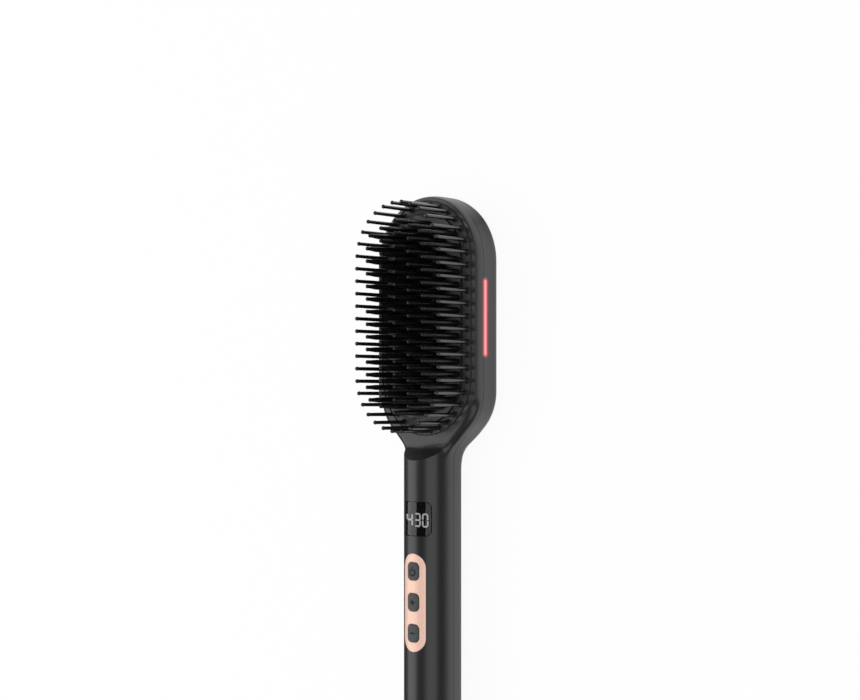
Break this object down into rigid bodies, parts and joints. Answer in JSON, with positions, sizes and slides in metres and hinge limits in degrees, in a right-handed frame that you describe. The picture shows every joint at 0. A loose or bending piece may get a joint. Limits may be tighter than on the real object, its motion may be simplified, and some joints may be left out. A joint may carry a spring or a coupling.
{
  "type": "steam hair straightener brush",
  "caption": "Paddle-shaped heated hair brush: round handle with display and buttons, flat head with rows of capped blades inside a ring of pins.",
  "frame": {"origin": "on the resting surface under the middle of the whole length, with the brush lying on its back", "axes": "+Z the way the teeth point, +Y from the cord end to the top of the head, +X the side of the head on the right when the teeth face the viewer and the head is up"},
  "size_m": [0.0684, 0.3, 0.0431],
  "materials": {
    "casing": "charcoal moulded plastic with a satin soft-touch coat",
    "ring_plate": "dark moulded heat-proof plastic, fine grain",
    "nylon": "black moulded nylon, satin",
    "coated_alloy": "die-cast alloy with a black ceramic coat",
    "cap_resin": "black heat-proof resin, semi-gloss",
    "ceramic": "off-white alumina ceramic",
    "steel": "zinc-plated steel",
    "bare_alloy": "machined aluminium",
    "silicone": "grey moulded silicone rubber",
    "tank_resin": "smoky clear resin",
    "light_bar": "frosted red light guide, lit",
    "board": "green solder mask",
    "window": "smoked gloss window",
    "module": "black display body with white lit segments",
    "rose_metal": "rose gold satin metal with a bright bevelled rim",
    "key": "dark grey matte key with a black printed sign",
    "lead_sleeve": "glass fibre sleeve",
    "contact_brass": "phosphor bronze on a moulded block",
    "swivel_resin": "black moulded plastic"
  },
  "bodies": {
    "housing": {"front_shell": "casing", "back_shell": "casing", "bristle_ring": "ring_plate", "outer_pins": "nylon", "comb_plate": "coated_alloy", "comb_blades": "coated_alloy", "blade_caps": "cap_resin", "heater_strips": "ceramic", "heater_carrier": "ring_plate", "carrier_screws": "steel", "steam_block": "bare_alloy", "steam_tube": "silicone", "micro_pump": "ceramic", "feed_tube": "silicone", "water_tank": "tank_resin", "temperature_sensor": "steel", "thermal_fuse": "steel", "light_bar_right": "light_bar", "light_bar_left": "light_bar", "led_board_right": "board", "led_board_left": "board", "display_window": "window", "display_module": "module", "button_bezel": "rose_metal", "control_board": "board", "tact_switches": "steel", "board_screws": "steel", "power_board": "board", "heater_leads": "lead_sleeve", "case_screws": "steel", "tail_cap": "casing", "slip_contacts": "contact_brass"},
    "power_key": {"power_button": "key"},
    "plus_key": {"plus_button": "key"},
    "minus_key": {"minus_button": "key"},
    "filler": {"filler_plug": "silicone"},
    "swivel": {"cord_swivel": "swivel_resin"}
  },
  "joints": [
    {"name": "power_press", "type": "slide", "parent": "housing", "child": "power_key", "axis": [0, 0, -1], "range_m": [0, 0.0006], "stiffness_N_per_m": 800},
    {"name": "plus_press", "type": "slide", "parent": "housing", "child": "plus_key", "axis": [0, 0, -1], "range_m": [0, 0.0006], "stiffness_N_per_m": 800},
    {"name": "minus_press", "type": "slide", "parent": "housing", "child": "minus_key", "axis": [0, 0, -1], "range_m": [0, 0.0006], "stiffness_N_per_m": 800},
    {"name": "plug_pull", "type": "slide", "parent": "housing", "child": "filler", "axis": [0, 0, -1], "range_m": [0, 0.005]},
    {"name": "cord_turn", "type": "hinge", "parent": "housing", "child": "swivel", "pos_m": [0, -0.142, 0.0145], "axis": [0, 1, 0], "continuous": true}
  ]
}
